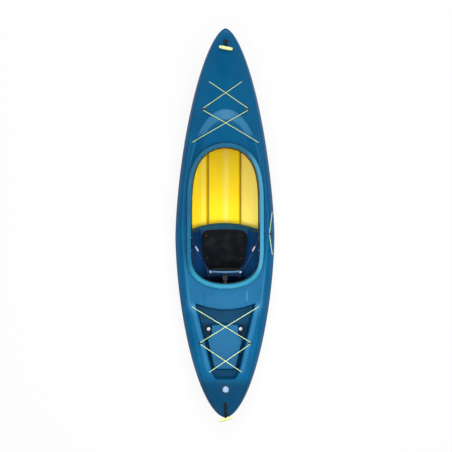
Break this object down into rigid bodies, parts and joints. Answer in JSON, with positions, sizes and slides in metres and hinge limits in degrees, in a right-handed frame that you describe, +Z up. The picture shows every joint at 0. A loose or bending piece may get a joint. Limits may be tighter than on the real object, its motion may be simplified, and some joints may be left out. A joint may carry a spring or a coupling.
{
  "type": "sit-in kayak",
  "caption": "Sit-in kayak: hull, deck with tank well, cockpit rim, moulded seat with folding backrest, sliding foot braces, crossed deck cords, swinging carry handles and screw-in drain plug.",
  "frame": {"origin": "bottom centre of the box round the whole kayak, handles included; the hull's own mid-length lies 13.5 mm ahead of it", "axes": "+Z up, +Y towards the bow, +X to starboard"},
  "size_m": [0.781, 3.075, 0.3705],
  "materials": {
    "blue_shell": "satin moulded polyethylene",
    "navy_plastic": "moulded polyethylene",
    "black_cloth": "woven cloth over foam",
    "black_webbing": "woven webbing and cord",
    "yellow_cord": "braided shock cord",
    "white_foam": "closed-cell foam",
    "black_rubber": "matte",
    "black_nylon": "moulded nylon",
    "grey_nylon": "moulded nylon",
    "pale_plastic": "moulded polyethylene",
    "yellow_plastic": "moulded polyethylene",
    "steel": "stainless"
  },
  "bodies": {
    "hull": {"hull_shell": "blue_shell", "deck_shell": "blue_shell", "cockpit_coaming": "blue_shell", "coaming_trim": "black_rubber", "scupper_tube_port": "blue_shell", "scupper_tube_starboard": "blue_shell", "bow_foam": "white_foam", "stern_foam": "white_foam", "seat_foam": "white_foam", "seat_pan": "navy_plastic", "seat_cushion": "black_cloth", "cushion_stud_front_port": "steel", "cushion_stud_front_starboard": "steel", "cushion_stud_rear_port": "steel", "cushion_stud_rear_starboard": "steel", "seat_bolt_aft_port": "steel", "seat_bolt_aft_starboard": "steel", "seat_bolt_fore_port": "steel", "seat_bolt_fore_starboard": "steel", "backrest_rod": "steel", "side_strap_port": "black_webbing", "side_strap_starboard": "black_webbing", "strap_adjuster_port": "grey_nylon", "strap_adjuster_starboard": "grey_nylon", "rear_strap": "black_webbing", "rear_strap_buckle": "black_nylon", "rear_strap_bolt": "steel", "bow_cord_port": "yellow_cord", "bow_cord_starboard": "yellow_cord", "stern_cord_port": "yellow_cord", "stern_cord_starboard": "yellow_cord", "bow_saddle_port": "black_nylon", "bow_saddle_starboard": "black_nylon", "stern_saddle_port": "black_nylon", "stern_saddle_starboard": "black_nylon", "paddle_cord": "yellow_cord", "paddle_saddle": "black_nylon", "bow_handle_eye": "black_nylon", "stern_handle_eye": "black_nylon", "drain_socket": "black_nylon", "foot_rail_port": "black_nylon", "foot_rail_starboard": "black_nylon", "rail_bolt_aft_port": "steel", "rail_bolt_aft_starboard": "steel", "rail_bolt_fore_port": "steel", "rail_bolt_fore_starboard": "steel"},
    "backrest": {"backrest_frame": "navy_plastic", "backrest_cushion": "black_cloth", "strap_rivet_port": "steel", "strap_rivet_starboard": "steel", "strap_rivet_rear": "steel"},
    "bow_handle": {"bow_handle_loop": "black_webbing", "bow_toggle": "yellow_plastic"},
    "stern_handle": {"stern_handle_loop": "black_webbing", "stern_toggle": "yellow_plastic"},
    "drain_seal": {"drain_gasket": "black_rubber"},
    "plug": {"drain_plug": "pale_plastic"},
    "pedal_port": {"foot_pedal_port": "black_nylon"},
    "pedal_starboard": {"foot_pedal_starboard": "black_nylon"}
  },
  "joints": [
    {"name": "backrest_fold", "type": "hinge", "parent": "hull", "child": "backrest", "pos_m": [0, -0.363, 0.085], "axis": [-1, 0, 0], "range_deg": [0, 75], "deforming": ["side_strap_port", "side_strap_starboard", "rear_strap"]},
    {"name": "bow_handle_swing", "type": "hinge", "parent": "hull", "child": "bow_handle", "pos_m": [0, 1.43981, 0.35655], "axis": [-1, 0, 0], "range_deg": [0, 150]},
    {"name": "stern_handle_swing", "type": "hinge", "parent": "hull", "child": "stern_handle", "pos_m": [0, -1.40282, 0.33141], "axis": [-1, 0, 0], "range_deg": [0, 150]},
    {"name": "drain_lift", "type": "slide", "parent": "hull", "child": "drain_seal", "axis": [0, 0, 1], "range_m": [0, 0.012]},
    {"name": "drain_turn", "type": "hinge", "parent": "drain_seal", "child": "plug", "pos_m": [0, -1.289, 0.31984], "axis": [0, 0, 1], "range_deg": [0, 1440]},
    {"name": "pedal_port_slide", "type": "slide", "parent": "hull", "child": "pedal_port", "axis": [0.2135, 0.9769, 0], "range_m": [-0.12, 0.12]},
    {"name": "pedal_starboard_slide", "type": "slide", "parent": "hull", "child": "pedal_starboard", "axis": [-0.2135, 0.9769, 0], "range_m": [-0.12, 0.12]}
  ],
  "couplings": [
    {"joint": "drain_turn", "follows": "drain_lift", "rad_per_m": 2094.3}
  ]
}
